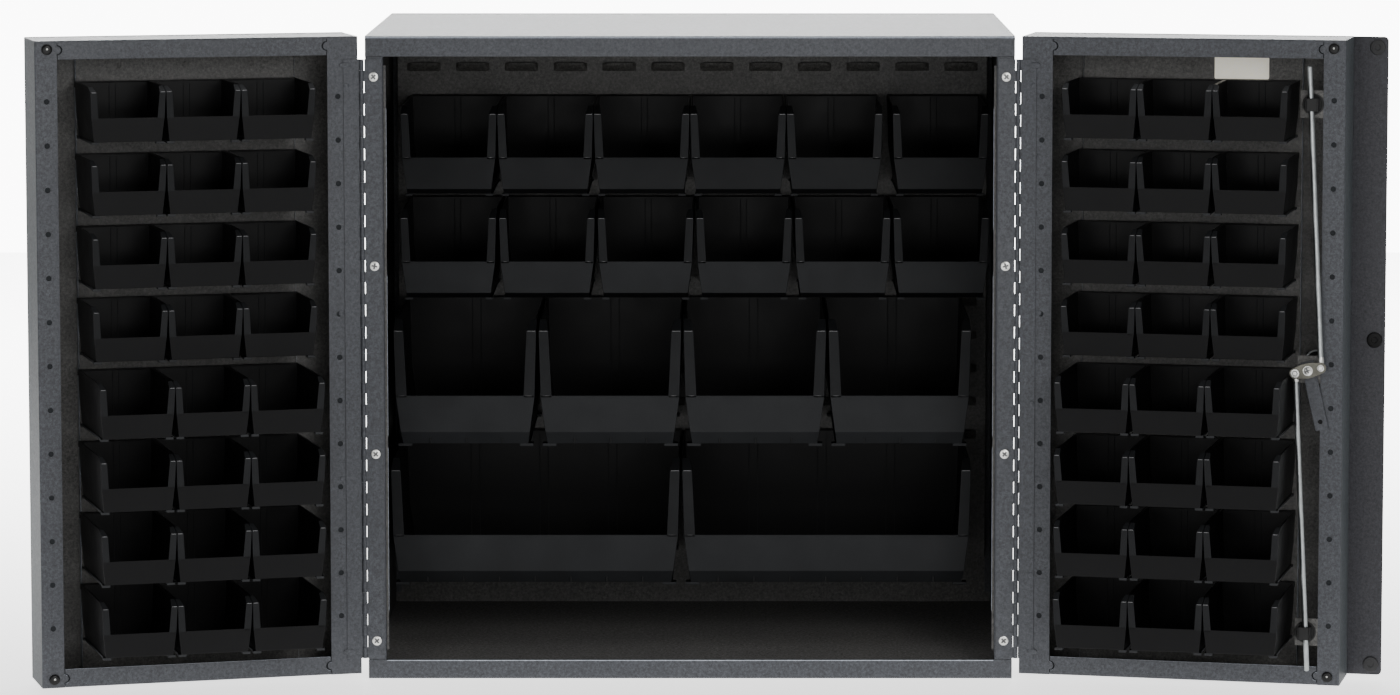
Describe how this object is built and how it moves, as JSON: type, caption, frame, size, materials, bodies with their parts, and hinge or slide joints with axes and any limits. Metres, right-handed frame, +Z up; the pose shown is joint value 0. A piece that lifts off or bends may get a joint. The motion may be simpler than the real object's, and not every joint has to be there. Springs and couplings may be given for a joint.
{
  "type": "tool cabinet",
  "caption": "Upright steel tool cabinet with two deep box doors on full-length hinges, louvred panels hung with open-front plastic bins, and a three-point rod latch.",
  "frame": {"origin": "middle of the cabinet's base, midway across its width and its depth, on the floor plane", "axes": "+X to the right seen from the front, +Y from the front into the cabinet, +Z up"},
  "size_m": [1.9131, 0.8248, 0.9144],
  "materials": {
    "grey_paint": "fine textured powder coat, blue-grey",
    "zinc_plate": "bright zinc plate",
    "plated_handle": "plated die casting",
    "black_plastic": "satin moulded black plastic",
    "rubber": "matt black rubber"
  },
  "bodies": {
    "cabinet": {"back_panel": "grey_paint", "bottom_panel": "grey_paint", "hinge_screws": "zinc_plate", "left_hinge_cabinet_leaf": "grey_paint", "left_side_panel": "grey_paint", "louvre_panel": "grey_paint", "right_hinge_cabinet_leaf": "grey_paint", "right_side_panel": "grey_paint", "top_panel": "grey_paint"},
    "left_door": {"left_door_bins_1": "black_plastic", "left_door_bins_2": "black_plastic", "left_door_bins_3": "black_plastic", "left_door_bins_4": "black_plastic", "left_door_bumpers": "rubber", "left_door_louvre_panel": "grey_paint", "left_door_pan": "grey_paint", "left_hinge_door_leaf": "grey_paint", "left_hinge_pin": "zinc_plate"},
    "right_door": {"handle_escutcheon": "plated_handle", "overlap_pads": "rubber", "overlap_strip": "grey_paint", "right_door_bins_1": "black_plastic", "right_door_bins_2": "black_plastic", "right_door_bins_3": "black_plastic", "right_door_bins_4": "black_plastic", "right_door_bumpers": "rubber", "right_door_louvre_panel": "grey_paint", "right_door_pan": "grey_paint", "right_hinge_door_leaf": "grey_paint", "right_hinge_pin": "zinc_plate", "rod_guides": "black_plastic"},
    "latch": {"door_handle": "plated_handle", "latch_spindle": "zinc_plate", "latch_cam": "zinc_plate", "latch_arm": "grey_paint", "cam_screw": "zinc_plate"},
    "upper_rod": {"upper_rod": "zinc_plate"},
    "lower_rod": {"lower_rod": "zinc_plate"},
    "bin_row_four_1": {"bin_row_four_1": "black_plastic"},
    "bin_row_four_2": {"bin_row_four_2": "black_plastic"},
    "bin_row_one_1": {"bin_row_one_1": "black_plastic"},
    "bin_row_one_2": {"bin_row_one_2": "black_plastic"},
    "bin_row_one_3": {"bin_row_one_3": "black_plastic"},
    "bin_row_one_4": {"bin_row_one_4": "black_plastic"},
    "bin_row_one_5": {"bin_row_one_5": "black_plastic"},
    "bin_row_one_6": {"bin_row_one_6": "black_plastic"},
    "bin_row_three_1": {"bin_row_three_1": "black_plastic"},
    "bin_row_three_2": {"bin_row_three_2": "black_plastic"},
    "bin_row_three_3": {"bin_row_three_3": "black_plastic"},
    "bin_row_three_4": {"bin_row_three_4": "black_plastic"},
    "bin_row_two_1": {"bin_row_two_1": "black_plastic"},
    "bin_row_two_2": {"bin_row_two_2": "black_plastic"},
    "bin_row_two_3": {"bin_row_two_3": "black_plastic"},
    "bin_row_two_4": {"bin_row_two_4": "black_plastic"},
    "bin_row_two_5": {"bin_row_two_5": "black_plastic"},
    "bin_row_two_6": {"bin_row_two_6": "black_plastic"}
  },
  "joints": [
    {"name": "left_door_swing", "type": "hinge", "parent": "cabinet", "child": "left_door", "pos_m": [-0.4618, -0.3068, 0], "axis": [0, 0, -1], "range_deg": [-164.1, 15.9]},
    {"name": "right_door_swing", "type": "hinge", "parent": "cabinet", "child": "right_door", "pos_m": [0.4618, -0.3068, 0], "axis": [0, 0, 1], "range_deg": [-167, 13]},
    {"name": "latch_turn", "type": "hinge", "parent": "right_door", "child": "latch", "pos_m": [0.86277, -0.40861, 0.454], "axis": [-0.225, -0.9744, 0], "range_deg": [0, 90]},
    {"name": "upper_rod_pivot", "type": "hinge", "parent": "latch", "child": "upper_rod", "pos_m": [0.88015, -0.41262, 0.45812], "axis": [-0.225, -0.9744, 0], "range_deg": [-94, 0]},
    {"name": "lower_rod_pivot", "type": "hinge", "parent": "latch", "child": "lower_rod", "pos_m": [0.8454, -0.4046, 0.44988], "axis": [-0.225, -0.9744, 0], "range_deg": [-94, 0]},
    {"name": "bin_row_four_1_lift", "type": "slide", "parent": "cabinet", "child": "bin_row_four_1", "axis": [0, 0, 1], "range_m": [0, 0.012]},
    {"name": "bin_row_four_2_lift", "type": "slide", "parent": "cabinet", "child": "bin_row_four_2", "axis": [0, 0, 1], "range_m": [0, 0.012]},
    {"name": "bin_row_one_1_lift", "type": "slide", "parent": "cabinet", "child": "bin_row_one_1", "axis": [0, 0, 1], "range_m": [0, 0.012]},
    {"name": "bin_row_one_2_lift", "type": "slide", "parent": "cabinet", "child": "bin_row_one_2", "axis": [0, 0, 1], "range_m": [0, 0.012]},
    {"name": "bin_row_one_3_lift", "type": "slide", "parent": "cabinet", "child": "bin_row_one_3", "axis": [0, 0, 1], "range_m": [0, 0.012]},
    {"name": "bin_row_one_4_lift", "type": "slide", "parent": "cabinet", "child": "bin_row_one_4", "axis": [0, 0, 1], "range_m": [0, 0.012]},
    {"name": "bin_row_one_5_lift", "type": "slide", "parent": "cabinet", "child": "bin_row_one_5", "axis": [0, 0, 1], "range_m": [0, 0.012]},
    {"name": "bin_row_one_6_lift", "type": "slide", "parent": "cabinet", "child": "bin_row_one_6", "axis": [0, 0, 1], "range_m": [0, 0.012]},
    {"name": "bin_row_three_1_lift", "type": "slide", "parent": "cabinet", "child": "bin_row_three_1", "axis": [0, 0, 1], "range_m": [0, 0.012]},
    {"name": "bin_row_three_2_lift", "type": "slide", "parent": "cabinet", "child": "bin_row_three_2", "axis": [0, 0, 1], "range_m": [0, 0.012]},
    {"name": "bin_row_three_3_lift", "type": "slide", "parent": "cabinet", "child": "bin_row_three_3", "axis": [0, 0, 1], "range_m": [0, 0.012]},
    {"name": "bin_row_three_4_lift", "type": "slide", "parent": "cabinet", "child": "bin_row_three_4", "axis": [0, 0, 1], "range_m": [0, 0.012]},
    {"name": "bin_row_two_1_lift", "type": "slide", "parent": "cabinet", "child": "bin_row_two_1", "axis": [0, 0, 1], "range_m": [0, 0.012]},
    {"name": "bin_row_two_2_lift", "type": "slide", "parent": "cabinet", "child": "bin_row_two_2", "axis": [0, 0, 1], "range_m": [0, 0.012]},
    {"name": "bin_row_two_3_lift", "type": "slide", "parent": "cabinet", "child": "bin_row_two_3", "axis": [0, 0, 1], "range_m": [0, 0.012]},
    {"name": "bin_row_two_4_lift", "type": "slide", "parent": "cabinet", "child": "bin_row_two_4", "axis": [0, 0, 1], "range_m": [0, 0.012]},
    {"name": "bin_row_two_5_lift", "type": "slide", "parent": "cabinet", "child": "bin_row_two_5", "axis": [0, 0, 1], "range_m": [0, 0.012]},
    {"name": "bin_row_two_6_lift", "type": "slide", "parent": "cabinet", "child": "bin_row_two_6", "axis": [0, 0, 1], "range_m": [0, 0.012]}
  ],
  "couplings": [
    {"joint": "upper_rod_pivot", "follows": "latch_turn", "ratio": -1.0383},
    {"joint": "lower_rod_pivot", "follows": "latch_turn", "ratio": -1.0383}
  ]
}
